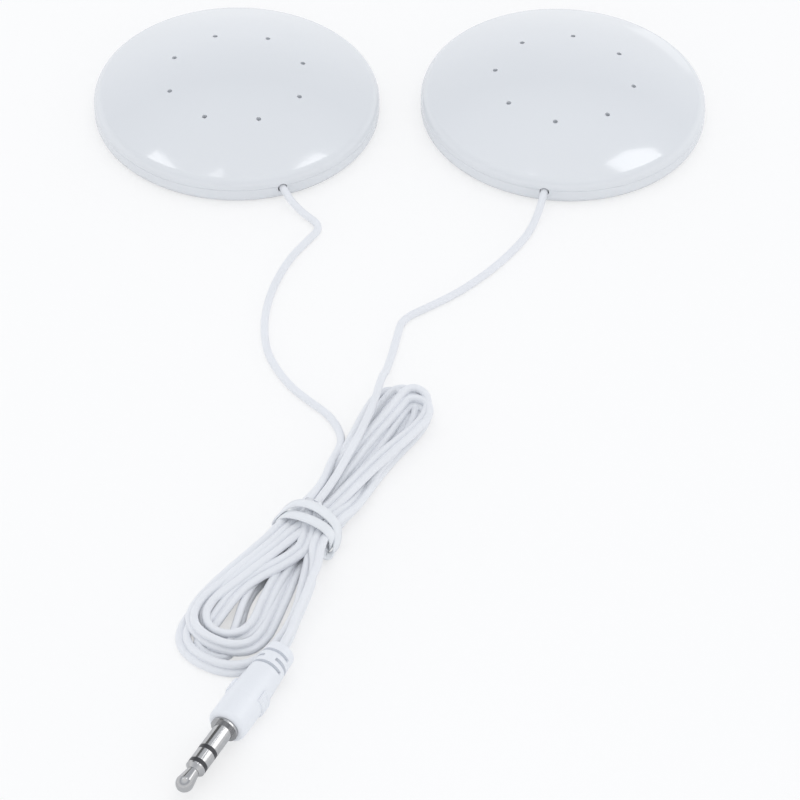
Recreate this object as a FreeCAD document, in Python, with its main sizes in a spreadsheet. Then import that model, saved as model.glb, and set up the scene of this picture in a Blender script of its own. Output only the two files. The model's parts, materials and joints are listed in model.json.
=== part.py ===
import FreeCAD, Part
import math
import operator
import os
import types
import Sketcher

Vector = FreeCAD.Vector

# Driving dimensions, in millimetres and degrees. The frame has its origin on the table under the
# middle of the two speakers, X through both speaker centres and Z up.
SIZES = [
    ("driver_radius", 16.0),
    ("cord_bay", 13.0),
    ("seam_height", 3.3),
    ("dome_height", 6.8),
    ("rim_radius", 2.2),
    ("seam_bevel", 0.1),
    ("edge_radius", 1.6),
    ("shell_wall", 1.2),
    ("lap_wall", 0.45),
    ("lap_depth", 1.1),
    ("fit_gap", 0.05),
    ("speaker_gap", 8.4),
    ("left_turn", 18.8),
    ("right_turn", -10.3),
    ("sound_hole_inset", 0.55),
    ("sound_hole_diameter", 1.0),
    ("sound_holes", 8),
    ("cord_diameter", 1.5),
    ("cord_hole_diameter", 1.9),
    ("cord_hole_height", 2.85),
    ("gate_gap", 2.2),
    ("gate_width", 7.0),
    ("gate_thickness", 1.0),
    ("gate_rise", 3.0),
    ("gate_clearance", 0.2),
    ("knot_length", 2.8),
    ("knot_diameter", 3.0),
    ("knot_shoulder", 0.55),
    ("exit_run", 2.25),
    ("driver_depth", 4.3),
    ("sheet_thickness", 0.5),
    ("rim_width", 1.3),
    ("web_height", 1.8),
    ("cone_flare", 1.8),
    ("collar_height", 0.8),
    ("vent_diameter", 2.4),
    ("vents", 6),
    ("coil_radius", 6.0),
    ("coil_wall", 0.3),
    ("coil_gap", 0.2),
    ("coil_length", 2.0),
    ("yoke_wall", 1.0),
    ("yoke_base", 1.0),
    ("magnet_thickness", 1.6),
    ("magnet_inset", 0.2),
    ("plate_thickness", 0.8),
    ("film_thickness", 0.15),
    ("film_land", 0.15),
    ("film_dome_rise", 0.8),
    ("film_roll_rise", 0.7),
    ("gasket_thickness", 0.6),
    ("cloth_thickness", 0.2),
    ("rib_width", 1.6),
    ("rib_seat", 0.6),
    ("rib_lip", 0.5),
    ("board_width", 7.0),
    ("board_thickness", 0.6),
    ("board_seat", 1.2),
    ("board_reach", 1.6),
    ("notch_margin", 0.6),
    ("wire_diameter", 0.5),
    ("wire_exit", 0.9),
    ("wire_climb", 1.2),
    ("wire_landing", 0.35),
    ("wire_spread", 1.2),
    ("pad_spread", 4.4),
    ("plug_x", -33.1),
    ("plug_y", -170.51),
    ("plug_heading", -28.3),
    ("body_radius", 3.5),
    ("body_length", 19.85),
    ("front_round", 0.9),
    ("grip_start", 6.2),
    ("grip_length", 3.1),
    ("grip_rise", 0.35),
    ("grip_angle", 76.0),
    ("ridge_rise", 0.18),
    ("ridge_flank", 0.15),
    ("grip_end_radius", 3.35),
    ("relief_start", 13.9),
    ("relief_radius", 3.0),
    ("boot_radius", 2.7),
    ("boot_round", 0.5),
    ("slot_width", 0.7),
    ("slot_pitch", 1.6),
    ("slot_angle", 136.0),
    ("slot_floor", 0.5),
    ("pin_radius", 1.75),
    ("pin_length", 15.55),
    ("tip_length", 5.35),
    ("ring_length", 2.4),
    ("band_width", 0.9),
    ("collar_radius", 2.5),
    ("collar_thickness", 0.6),
    ("shank_radius", 2.1),
    ("shank_length", 3.5),
    ("rod_radius", 0.45),
    ("tube_wall", 0.25),
    ("tube_step", 1.3),
    ("tip_ball_radius", 1.58),
    ("tip_neck_radius", 1.1),
    ("tip_nose_radius", 0.6),
    ("tip_nose_round", 1.85),
    ("tip_cone", 1.6),
    ("tip_collar", 0.6),
    ("tip_chamfer", 0.3),
    ("twin_width", 3.0),
    ("boot_run", 2.0),
    ("hank_x", -19.0),
    ("hank_y", -121.5),
    ("hank_heading", 58.66),
    ("hank_bulk", 4.4),
    ("hank_round", 1.6),
    ("opening_round", 0.8),
    ("waist_length", 8.4),
    ("waist_width", 10.6),
    ("waist_height", 5.8),
    ("waist_round", 2.0),
    ("waist_bite", 0.6),
    ("waist_run", 4.5),
    ("tie_thickness", 0.5),
    ("tie_width", 2.8),
    ("tie_lead", 1.7),
    ("tie_gap", 0.1),
]

SIDES = ("left", "right")
GRIP_RIDGES = 3
RELIEF_ROWS = 3

# A corner's arc takes this share of the shorter of its two runs.
CORNER_REACH = 0.45
SAME_POINT = 1e-6

# Routes chosen by hand, as points of the cord's middle line. The leads' first point is the hole
# in the rim, their last one is where they go under the tie.
LEFT_LEAD_ROUTE = [
    (-20.2, -32.7, 1.1),
    (-16.0, -36.7, 0.75),
    (-19.0, -41.1, 0.75),
    (-22.5, -46.4, 0.75),
    (-25.5, -54.2, 0.75),
    (-27.0, -61.3, 0.75),
    (-27.3, -67.8, 0.75),
    (-26.4, -74.6, 0.75),
    (-22.7, -82.2, 0.75),
    (-18.7, -86.8, 0.75),
    (-14.9, -90.6, 0.75),
    (-12.9, -95.3, 0.8),
    (-12.8, -99.4, 1.4),
    (-14.7, -105.7, 3.5),
]
RIGHT_LEAD_ROUTE = [
    (26.2, -34.6, 1.1),
    (24.3, -39.2, 0.75),
    (20.6, -44.9, 0.75),
    (15.9, -50.6, 0.75),
    (10.2, -56.2, 0.75),
    (4.6, -60.2, 0.75),
    (-0.9, -63.9, 0.75),
    (-1.9, -68.8, 0.75),
    (-3.0, -74.0, 0.75),
    (-4.2, -79.9, 2.0),
    (-5.2, -85.5, 5.9),
    (-6.6, -92.0, 5.8),
    (-9.0, -99.5, 5.6),
    (-12.7, -108.9, 5.6),
]
# Hank routes lie in the hank's own axes: along it, across it and up.
PLUG_LEAD_ROUTE = [
    (-8.9, -5.8, 4.7),
    (-13.5, -7.7, 4.5),
    (-17.6, -9.0, 4.0),
    (-21.5, -10.3, 3.5),
]
UPPER_OUTLINE = [
    (3.6, 4.2), (10.0, 3.0), (16.0, 3.5), (23.0, 5.5), (28.0, 7.4), (34.0, 8.6), (38.4, 8.2),
    (41.6, 4.8), (41.2, 0.6), (38.8, -3.4), (34.0, -4.5), (15.6, -4.8), (3.6, -4.7),
]
UPPER_OPENING = [
    (31.0, -0.9), (34.5, 0.4), (37.2, 0.3), (37.8, -1.1), (36.0, -1.9), (32.5, -1.8),
]
LOWER_OUTLINE = [
    (-3.6, 4.6), (-14.0, 6.5), (-25.8, 8.4), (-31.5, 8.0), (-36.5, 5.4), (-39.1, 0.6),
    (-39.0, -4.2), (-35.8, -7.6), (-30.5, -9.2), (-24.7, -8.9), (-17.4, -7.2), (-10.5, -4.6),
    (-7.0, -2.8), (-3.6, -1.9),
]
LOWER_OPENING = [
    (-16.5, 0.2), (-21.5, 1.6), (-26.5, 1.0), (-30.2, -1.0), (-28.0, -2.3), (-22.0, -1.3),
]
LEFT_LEAD_END = (2.1, 5.55)
RIGHT_LEAD_END = (-0.1, 5.6)
PLUG_LEAD_START = (-3.5, 4.6)


class Size:
    """A number together with the formula that ties it to the sheet's cells."""

    def __init__(self, number, formula):
        self.number = number
        self.formula = formula

    def __add__(self, other):
        return combine(operator.add, "+", self, other)

    def __radd__(self, other):
        return combine(operator.add, "+", other, self)

    def __sub__(self, other):
        return combine(operator.sub, "-", self, other)

    def __rsub__(self, other):
        return combine(operator.sub, "-", other, self)

    def __mul__(self, other):
        return combine(operator.mul, "*", self, other)

    def __rmul__(self, other):
        return combine(operator.mul, "*", other, self)

    def __truediv__(self, other):
        return combine(operator.truediv, "/", self, other)

    def __neg__(self):
        return combine(operator.sub, "-", 0, self)


def as_size(value):
    return value if isinstance(value, Size) else Size(float(value), repr(float(value)))


def combine(action, sign, first, second):
    first, second = as_size(first), as_size(second)
    number = action(first.number, second.number)
    return Size(number, "(%s %s %s)" % (first.formula, sign, second.formula))


def root(size):
    return Size(math.sqrt(size.number), "sqrt(%s)" % size.formula)


def bind(item, path, size):
    item.setExpression(path, as_size(size).formula)


def make_sheet(doc):
    """Fill the sheet with the driving dimensions and return them by name."""
    sheet = doc.addObject("Spreadsheet::Sheet", "Sizes")
    sizes = types.SimpleNamespace()
    for row, (alias, number) in enumerate(SIZES, start=1):
        sheet.set("A%d" % row, alias)
        sheet.set("B%d" % row, str(number))
        sheet.setAlias("B%d" % row, alias)
        setattr(sizes, alias, Size(float(number), "Sizes." + alias))
    doc.recompute()
    return sheet, sizes


def add_derived(doc, sheet, sizes, named):
    """Give worked-out sizes a cell and a name of their own."""
    first_row = len(sheet.getUsedCells()) // 2 + 1
    for row, (alias, size) in enumerate(named, start=first_row):
        sheet.set("A%d" % row, alias)
        sheet.set("B%d" % row, "=" + size.formula.replace("Sizes.", ""))
        sheet.setAlias("B%d" % row, alias)
        setattr(sizes, alias, Size(size.number, "Sizes." + alias))
    doc.recompute()


def derive_sizes(doc, sheet, s):
    """Sizes that follow from the driving ones, from the shell inwards."""
    rim_height = s.seam_height + s.seam_bevel
    rise = s.dome_height
    add_derived(doc, sheet, s, [
        ("speaker_radius", s.driver_radius + s.cord_bay),
        ("rim_height", rim_height),
        ("total_height", rim_height + rise),
        ("speaker_offset", s.driver_radius + s.cord_bay + s.speaker_gap / 2),
    ])
    rim_centre = s.speaker_radius - s.rim_radius
    add_derived(doc, sheet, s, [
        ("crown_radius", (rim_centre * rim_centre + rise * rise - s.rim_radius * s.rim_radius)
            / (2 * (rise - s.rim_radius))),
        ("rim_centre", rim_centre),
    ])
    add_derived(doc, sheet, s, [
        ("crown_centre", s.total_height - s.crown_radius),
        ("inner_radius", s.speaker_radius - s.shell_wall),
        ("inner_crown", s.crown_radius - s.shell_wall),
        ("lap_radius", s.speaker_radius - s.shell_wall + s.lap_wall),
        ("yoke_bore", s.coil_radius + s.coil_wall + s.coil_gap),
        ("plate_radius", s.coil_radius - s.coil_gap),
        ("yoke_top", s.shell_wall + s.yoke_base + s.magnet_thickness + s.plate_thickness),
        ("driver_top", s.shell_wall + s.driver_depth),
        ("rim_inner", s.driver_radius - s.rim_width),
        ("gate_face", s.speaker_radius - s.shell_wall - s.gate_gap - s.gate_thickness),
    ])
    add_derived(doc, sheet, s, [
        ("yoke_radius", s.yoke_bore + s.yoke_wall),
        ("film_top", s.driver_top + s.film_thickness),
        ("boss_height", s.driver_top + s.film_thickness + s.gasket_thickness),
        ("sound_ring", s.rim_inner - s.sound_hole_inset),
        ("knot_face", s.gate_face - s.knot_length),
        ("pin_sleeve", s.pin_length - s.tip_length - s.ring_length - 2 * s.band_width),
        ("tube_one", s.rod_radius + s.tube_wall),
        ("tube_two", s.rod_radius + 2 * s.tube_wall),
        ("tube_three", s.rod_radius + 3 * s.tube_wall),
        ("contact_depth", s.shank_length + 4 * s.tube_step),
    ])


def inner_dome(s, radius):
    """Height of the dome's inner face at a radius."""
    return s.crown_centre + root(s.inner_crown * s.inner_crown - radius * radius)


def add_body(doc, name, placement):
    body = doc.addObject("PartDesign::Body", name)
    body.Label = name
    body.setExpression("Placement", placement)
    return body


def add_sketch(body, name, plane, lift=None):
    """Sketch on one of the body's own origin planes, moved along its normal by lift."""
    sketch = body.newObject("Sketcher::SketchObject", name)
    support = next(item for item in body.Origin.OriginFeatures if item.Role == plane)
    sketch.AttachmentSupport = [(support, "")]
    sketch.MapMode = "FlatFace"
    if lift is not None:
        bind(sketch, "AttachmentOffset.Base.z", lift)
    return sketch


def constrain(sketch, kind, *references, size):
    index = sketch.addConstraint(Sketcher.Constraint(kind, *references, size.number))
    bind(sketch, "Constraints[%d]" % index, size)


def fix_point(sketch, edge, end, place):
    """Hold one end of an edge at a place given by two sizes."""
    for kind, axis, size in (("DistanceX", -2, place[0]), ("DistanceY", -1, place[1])):
        if isinstance(size, Size):
            constrain(sketch, kind, -1, 1, edge, end, size=size)
        else:
            sketch.addConstraint(Sketcher.Constraint("PointOnObject", edge, end, axis))


def flat_point(place):
    return Vector(as_size(place[0]).number, as_size(place[1]).number, 0)


def arc_between(start, end, radius, bulge):
    """Arc of a radius from start to end, on the right of the way there for a bulge of 1."""
    chord = end - start
    half = chord.Length / 2
    sagitta = radius - math.sqrt(radius * radius - half * half)
    aside = Vector(chord.y, -chord.x, 0).normalize() * sagitta * bulge
    return Part.Arc(start, (start + end) / 2 + aside, end)


def draw_outline(sketch, places, arcs=None):
    """Closed outline through the places. arcs gives the radius and bulge of the edges that are
    round, by the number of the place they leave."""
    arcs = arcs or {}
    ends = []
    for number, place in enumerate(places):
        start, end = flat_point(place), flat_point(places[(number + 1) % len(places)])
        if number in arcs:
            radius, bulge = arcs[number]
            edge = sketch.addGeometry(arc_between(start, end, radius.number, bulge))
            forward = sketch.getPoint(edge, 1).isEqual(start, SAME_POINT)
            constrain(sketch, "Radius", edge, size=radius)
        else:
            edge = sketch.addGeometry(Part.LineSegment(start, end))
            forward = True
        ends.append((edge, 1, 2) if forward else (edge, 2, 1))
    for number, place in enumerate(places):
        edge, first, last = ends[number]
        before, before_first, before_last = ends[number - 1]
        sketch.addConstraint(Sketcher.Constraint("Coincident", before, before_last, edge, first))
        fix_point(sketch, edge, first, place)


def draw_box(sketch, low, high):
    draw_outline(sketch, [low, (high[0], low[1]), high, (low[0], high[1])])


def draw_circle(sketch, place, radius):
    circle = sketch.addGeometry(Part.Circle(flat_point(place), Vector(0, 0, 1), radius.number))
    constrain(sketch, "Radius", circle, size=radius)
    fix_point(sketch, circle, 3, place)


def turn(body, sketch, name, kind="Revolution", axis="V_Axis", angle=None):
    """Revolve a sketch about one of its axes, all round or evenly to both sides of its plane."""
    feature = body.newObject("PartDesign::" + kind, name)
    feature.Profile = sketch
    feature.ReferenceAxis = (sketch, [axis])
    if angle is None:
        feature.Angle = 360
    else:
        feature.Midplane = True
        bind(feature, "Angle", angle)
    return feature


def pad(body, sketch, name, length):
    feature = body.newObject("PartDesign::Pad", name)
    feature.Profile = sketch
    bind(feature, "Length", length)
    return feature


def pocket(body, sketch, name, length, reverse):
    feature = body.newObject("PartDesign::Pocket", name)
    feature.Profile = sketch
    bind(feature, "Length", length)
    feature.Reversed = reverse
    return feature


def repeat_round(body, feature, name, count):
    """Repeat a feature evenly round the body's Z axis."""
    pattern = body.newObject("PartDesign::PolarPattern", name)
    pattern.Originals = [feature]
    upright = next(item for item in body.Origin.OriginFeatures if item.Role == "Z_Axis")
    pattern.Axis = (upright, [""])
    pattern.Angle = 360
    bind(pattern, "Occurrences", count)
    body.Tip = pattern
    return pattern


def speaker_placement(side):
    sign = "-1" if side == "left" else "1"
    return ("placement(vector(%s * Sizes.speaker_offset; 0; 0); rotation(vector(0; 0; 1); Sizes.%s_turn))"
            % (sign, side))


def speaker_matrix(s, side):
    """The same placement for the pieces whose shape is worked out here."""
    sign = -1 if side == "left" else 1
    angle = getattr(s, side + "_turn").number
    base = Vector(sign * s.speaker_offset.number, 0, 0)
    return FreeCAD.Placement(base, FreeCAD.Rotation(Vector(0, 0, 1), angle))


def make_front_shell(doc, s, side):
    """Domed cover with a lap lip at the seam, a boss ring over the driver and the sound holes."""
    body = add_body(doc, side + "_front_shell", speaker_placement(side))
    sketch = add_sketch(body, "Dome", "XZ_Plane")
    slope = s.crown_radius / (s.crown_radius - s.rim_radius)
    draw_outline(sketch, [
        (0, s.total_height),
        (s.rim_centre * slope, s.crown_centre + (s.rim_height - s.crown_centre) * slope),
        (s.speaker_radius, s.rim_height),
        (s.speaker_radius - s.seam_bevel, s.seam_height),
        (s.lap_radius, s.seam_height),
        (s.lap_radius, s.seam_height - s.lap_depth),
        (s.inner_radius, s.seam_height - s.lap_depth),
        (s.inner_radius, inner_dome(s, s.inner_radius)),
        (0, s.total_height - s.shell_wall),
    ], {0: (s.crown_radius, -1), 1: (s.rim_radius, -1), 7: (s.inner_crown, 1)})
    turn(body, sketch, "DomeTurn")
    cut_cord_hole(body, s)
    boss = add_sketch(body, "Boss", "XZ_Plane")
    bury = s.shell_wall / 2
    draw_outline(boss, [
        (s.rim_inner, s.boss_height),
        (s.driver_radius, s.boss_height),
        (s.driver_radius, inner_dome(s, s.driver_radius) + bury),
        (s.rim_inner, inner_dome(s, s.rim_inner) + bury),
    ])
    turn(body, boss, "BossTurn")
    hole = add_sketch(body, "SoundHole", "XY_Plane")
    draw_circle(hole, (s.sound_ring, 0), s.sound_hole_diameter / 2)
    cut = pocket(body, hole, "SoundHoleCut", s.total_height, True)
    repeat_round(body, cut, "SoundHoleRing", s.sound_holes)
    return body


def cut_cord_hole(body, s):
    """Round hole through the wall, on the side that faces the body's -Y."""
    sketch = add_sketch(body, "CordHole", "XZ_Plane")
    draw_circle(sketch, (0, s.cord_hole_height), s.cord_hole_diameter / 2)
    return pocket(body, sketch, "CordHoleCut", s.speaker_radius + s.shell_wall, True)


def make_rear_shell(doc, s, side):
    """Flat-bottomed dish with the driver's seat ring and the gate that holds the cord's knot."""
    body = add_body(doc, side + "_rear_shell", speaker_placement(side))
    sketch = add_sketch(body, "Dish", "XZ_Plane")
    rebate = s.seam_height - s.lap_depth - s.fit_gap
    draw_outline(sketch, [
        (0, 0),
        (s.speaker_radius - s.edge_radius, 0),
        (s.speaker_radius, s.edge_radius),
        (s.speaker_radius, s.seam_height - s.seam_bevel),
        (s.speaker_radius - s.seam_bevel, s.seam_height),
        (s.lap_radius + s.fit_gap, s.seam_height),
        (s.lap_radius + s.fit_gap, rebate),
        (s.inner_radius, rebate),
        (s.inner_radius, s.shell_wall),
        (0, s.shell_wall),
    ], {1: (s.edge_radius, 1)})
    turn(body, sketch, "DishTurn")
    cut_cord_hole(body, s)
    seat = add_sketch(body, "Seat", "XZ_Plane")
    seat_inner = s.driver_radius - s.rib_seat
    seat_height = s.driver_top - s.sheet_thickness
    draw_outline(seat, [
        (seat_inner, s.shell_wall / 2),
        (seat_inner + s.rib_width, s.shell_wall / 2),
        (seat_inner + s.rib_width, s.driver_top + s.rib_lip),
        (s.driver_radius + 2 * s.fit_gap, s.driver_top + s.rib_lip),
        (s.driver_radius + 2 * s.fit_gap, seat_height),
        (seat_inner, seat_height),
    ])
    turn(body, seat, "SeatTurn")
    notch = add_sketch(body, "Notch", "XZ_Plane")
    notch_half = s.board_width / 2 + s.notch_margin
    draw_box(notch, (-notch_half, seat_height - s.board_thickness - s.notch_margin),
             (notch_half, s.driver_top + 2 * s.rib_lip))
    pocket(body, notch, "NotchCut", s.knot_face, True)
    gate = add_sketch(body, "Gate", "XY_Plane")
    slot_half = s.cord_diameter / 2 + s.gate_clearance / 2
    gate_back = -(s.gate_face + s.gate_thickness)
    for sign in (-1, 1):
        draw_box(gate, (sign * slot_half, gate_back), (sign * s.gate_width / 2, -s.gate_face))
    pad(body, gate, "GatePosts", s.shell_wall + s.gate_rise)
    return body


def make_dust_cloth(doc, s, side):
    """Thin cloth disc under the dome, inside the boss ring."""
    body = add_body(doc, side + "_dust_cloth", speaker_placement(side))
    sketch = add_sketch(body, "Cloth", "XZ_Plane")
    edge = s.rim_inner - s.fit_gap
    top = s.inner_crown - s.fit_gap
    low = top - s.cloth_thickness
    draw_outline(sketch, [
        (0, s.crown_centre + low),
        (edge, s.crown_centre + root(low * low - edge * edge)),
        (edge, s.crown_centre + root(top * top - edge * edge)),
        (0, s.crown_centre + top),
    ], {0: (low, -1), 2: (top, 1)})
    turn(body, sketch, "ClothTurn")
    return body


def make_driver_frame(doc, s, side):
    """Pressed basket: collar on the yoke, vented web, cone and the rim that the film sits on."""
    body = add_body(doc, side + "_driver_frame", speaker_placement(side))
    sketch = add_sketch(body, "Basket", "XZ_Plane")
    web = s.shell_wall + s.web_height
    rim = s.driver_top - s.sheet_thickness
    cone_top = s.rim_inner - s.sheet_thickness / 2
    cone_foot = cone_top - s.cone_flare
    collar = s.yoke_radius + s.sheet_thickness
    draw_outline(sketch, [
        (s.yoke_radius, web),
        (cone_foot, web),
        (cone_top, rim),
        (s.driver_radius, rim),
        (s.driver_radius, s.driver_top),
        (cone_top - s.sheet_thickness / 2, s.driver_top),
        (cone_foot - s.sheet_thickness / 2, web + s.sheet_thickness),
        (collar, web + s.sheet_thickness),
        (collar, web + s.sheet_thickness + s.collar_height),
        (s.yoke_radius, web + s.sheet_thickness + s.collar_height),
    ])
    turn(body, sketch, "BasketTurn")
    vent = add_sketch(body, "Vent", "XY_Plane")
    draw_circle(vent, ((collar + cone_foot) / 2, 0), s.vent_diameter / 2)
    cut = pocket(body, vent, "VentCut", s.driver_top, True)
    repeat_round(body, cut, "VentRing", s.vents)
    return body


def make_yoke(doc, s, side):
    """Steel cup that carries the magnet and closes its circuit round the coil."""
    body = add_body(doc, side + "_yoke", speaker_placement(side))
    sketch = add_sketch(body, "Cup", "XZ_Plane")
    base = s.shell_wall + s.yoke_base
    draw_outline(sketch, [
        (0, s.shell_wall),
        (s.yoke_radius, s.shell_wall),
        (s.yoke_radius, s.yoke_top),
        (s.yoke_bore, s.yoke_top),
        (s.yoke_bore, base),
        (0, base),
    ])
    turn(body, sketch, "CupTurn")
    return body


def make_disc(doc, s, name, side, radius, low, thickness):
    """Plain round disc of the magnet system."""
    body = add_body(doc, "%s_%s" % (side, name), speaker_placement(side))
    sketch = add_sketch(body, "Round", "XY_Plane", low)
    circle = sketch.addGeometry(Part.Circle(Vector(0, 0, 0), Vector(0, 0, 1), radius.number))
    sketch.addConstraint(Sketcher.Constraint("Coincident", circle, 3, -1, 1))
    constrain(sketch, "Radius", circle, size=radius)
    pad(body, sketch, "RoundPad", thickness)
    return body


def make_magnet(doc, s, side):
    low = s.shell_wall + s.yoke_base
    return make_disc(doc, s, "magnet", side, s.plate_radius - s.magnet_inset, low, s.magnet_thickness)


def make_top_plate(doc, s, side):
    low = s.shell_wall + s.yoke_base + s.magnet_thickness
    return make_disc(doc, s, "top_plate", side, s.plate_radius, low, s.plate_thickness)


def make_ring(doc, s, name, side, inner, outer, low, high):
    """Plain ring of rectangular section."""
    body = add_body(doc, "%s_%s" % (side, name), speaker_placement(side))
    sketch = add_sketch(body, "Section", "XZ_Plane")
    draw_box(sketch, (inner, low), (outer, high))
    turn(body, sketch, "SectionTurn")
    return body


def make_voice_coil(doc, s, side):
    low = s.driver_top - s.coil_length
    outer = s.coil_radius + s.coil_wall
    return make_ring(doc, s, "voice_coil", side, s.coil_radius, outer, low, s.driver_top)


def make_gasket(doc, s, side):
    return make_ring(doc, s, "gasket", side, s.rim_inner, s.driver_radius, s.film_top, s.boss_height)


def make_diaphragm(doc, s, side):
    """Thin film: centre dome over the coil, half-round roll and the flat land on the rim."""
    body = add_body(doc, side + "_diaphragm", speaker_placement(side))
    sketch = add_sketch(body, "Film", "XZ_Plane")
    dome = s.coil_radius - s.film_land
    land = s.coil_radius + s.coil_wall + s.film_land
    roll = s.rim_inner - s.film_land
    dome_radius = (dome * dome + s.film_dome_rise * s.film_dome_rise) / (2 * s.film_dome_rise)
    half_roll = (roll - land) / 2
    roll_radius = (half_roll * half_roll + s.film_roll_rise * s.film_roll_rise) / (2 * s.film_roll_rise)
    draw_outline(sketch, [
        (0, s.driver_top + s.film_dome_rise),
        (dome, s.driver_top),
        (land, s.driver_top),
        (roll, s.driver_top),
        (s.driver_radius, s.driver_top),
        (s.driver_radius, s.film_top),
        (roll, s.film_top),
        (land, s.film_top),
        (dome, s.film_top),
        (0, s.film_top + s.film_dome_rise),
    ], {0: (dome_radius, -1), 2: (roll_radius, -1), 6: (roll_radius, 1), 8: (dome_radius, 1)})
    turn(body, sketch, "FilmTurn")
    return body


def make_terminal_board(doc, s, side):
    """Small board under the frame's rim, where the lead's two wires are soldered."""
    body = add_body(doc, side + "_terminal_board", speaker_placement(side))
    low = s.driver_top - s.sheet_thickness - s.board_thickness
    sketch = add_sketch(body, "Board", "XY_Plane", low)
    near = -(s.driver_radius - s.board_seat)
    far = -(s.driver_radius + s.board_reach)
    draw_box(sketch, (-s.board_width / 2, far), (s.board_width / 2, near))
    pad(body, sketch, "BoardPad", s.board_thickness)
    return body


def make_cord_knot(doc, s, side):
    """Outer shape of the knot that stops the lead behind the gate."""
    body = add_body(doc, side + "_cord_knot", speaker_placement(side))
    sketch = add_sketch(body, "Knot", "YZ_Plane")
    bind(sketch, "AttachmentOffset.Base.y", s.cord_hole_height)
    near, far = -s.knot_face, -s.gate_face
    radius = s.knot_diameter / 2
    shoulder = s.knot_shoulder
    draw_outline(sketch, [
        (far, 0),
        (near, 0),
        (near, radius - shoulder),
        (near - shoulder, radius),
        (far + shoulder, radius),
        (far, radius - shoulder),
    ])
    turn(body, sketch, "KnotTurn", axis="H_Axis")
    return body


def corner_arc(before, corner, after):
    """Tangent arc at a corner: its start, middle, end and radius."""
    back, ahead = before - corner, after - corner
    reach = CORNER_REACH * min(back.Length, ahead.Length)
    half_turn = (math.pi - back.getAngle(ahead)) / 2
    radius = reach / math.tan(half_turn)
    start = corner + back.normalize() * reach
    end = corner + ahead.normalize() * reach
    inward = (start + end) / 2 - corner
    to_centre = math.hypot(radius, reach)
    middle = corner + inward.normalize() * (to_centre - radius)
    return start, middle, end, radius


def rounded_path(points):
    """Straight runs joined by tangent arcs, as one wire, with the radii of the arcs."""
    edges, radii, here = [], [], points[0]
    for before, corner, after in zip(points, points[1:], points[2:]):
        start, middle, end, radius = corner_arc(before, corner, after)
        edges.append(Part.LineSegment(here, start).toShape())
        edges.append(Part.Arc(start, middle, end).toShape())
        radii.append(radius)
        here = end
    edges.append(Part.LineSegment(here, points[-1]).toShape())
    return Part.Wire(edges), radii


def tube(points, diameter, name):
    """Round tube along a rounded path. Its length and radii are printed."""
    wire, radii = rounded_path(points)
    section = Part.Circle(points[0], points[1] - points[0], diameter / 2).toShape()
    pipe = Part.BRepOffsetAPI.MakePipeShell(wire)
    pipe.add(Part.Wire([section]))
    pipe.build()
    pipe.makeSolid()
    shape = pipe.shape()
    wanted = math.pi * diameter * diameter / 4 * wire.Length
    print("%s: length %.1f, least radius %.2f, radii %s, volume ratio %.4f" % (
        name, wire.Length, min(radii), " ".join("%.1f" % radius for radius in radii), shape.Volume / wanted))
    return shape


def add_shape(doc, name, shape, placement=None):
    """Feature whose shape is worked out here, with its placement set after the shape."""
    feature = doc.addObject("Part::Feature", name)
    feature.Label = name
    feature.Shape = shape
    if placement is not None:
        feature.Placement = placement
    return feature


def make_wire(doc, s, side, name, sign):
    """Thin wire from the knot to its pad under the terminal board."""
    start, board = -s.knot_face.number, -(s.driver_radius + s.board_reach).number
    low = s.cord_hole_height.number
    high = (s.driver_top - s.sheet_thickness - s.board_thickness - s.wire_diameter / 2).number
    near, far = sign * s.wire_spread.number / 2, sign * s.pad_spread.number / 2
    leave, climb = start + s.wire_exit.number, start + s.wire_exit.number + s.wire_climb.number
    points = [
        Vector(near, start, low),
        Vector(near, leave, low),
        Vector((near + far) / 2, climb, (low + high) / 2),
        Vector(far, board + s.wire_landing.number, high),
        Vector(far, board + s.board_reach.number, high),
    ]
    full_name = "%s_%s_wire" % (side, name)
    shape = tube(points, s.wire_diameter.number, full_name)
    return add_shape(doc, full_name, shape, speaker_matrix(s, side))


def make_speaker(doc, s, side):
    make_front_shell(doc, s, side)
    make_rear_shell(doc, s, side)
    make_dust_cloth(doc, s, side)
    make_driver_frame(doc, s, side)
    make_yoke(doc, s, side)
    make_magnet(doc, s, side)
    make_top_plate(doc, s, side)
    make_voice_coil(doc, s, side)
    make_diaphragm(doc, s, side)
    make_gasket(doc, s, side)
    make_terminal_board(doc, s, side)
    make_cord_knot(doc, s, side)
    make_wire(doc, s, side, "signal", -1)
    make_wire(doc, s, side, "return", 1)


PLUG_PLACEMENT = ("placement(vector(Sizes.plug_x; Sizes.plug_y; Sizes.body_radius);"
                  " rotation(vector(0; 0; 1); Sizes.plug_heading) * rotation(vector(1; 0; 0); 90))")


def plug_matrix(s):
    base = Vector(s.plug_x.number, s.plug_y.number, s.body_radius.number)
    heading = FreeCAD.Rotation(Vector(0, 0, 1), s.plug_heading.number)
    return FreeCAD.Placement(base, heading * FreeCAD.Rotation(Vector(1, 0, 0), 90))


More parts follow.
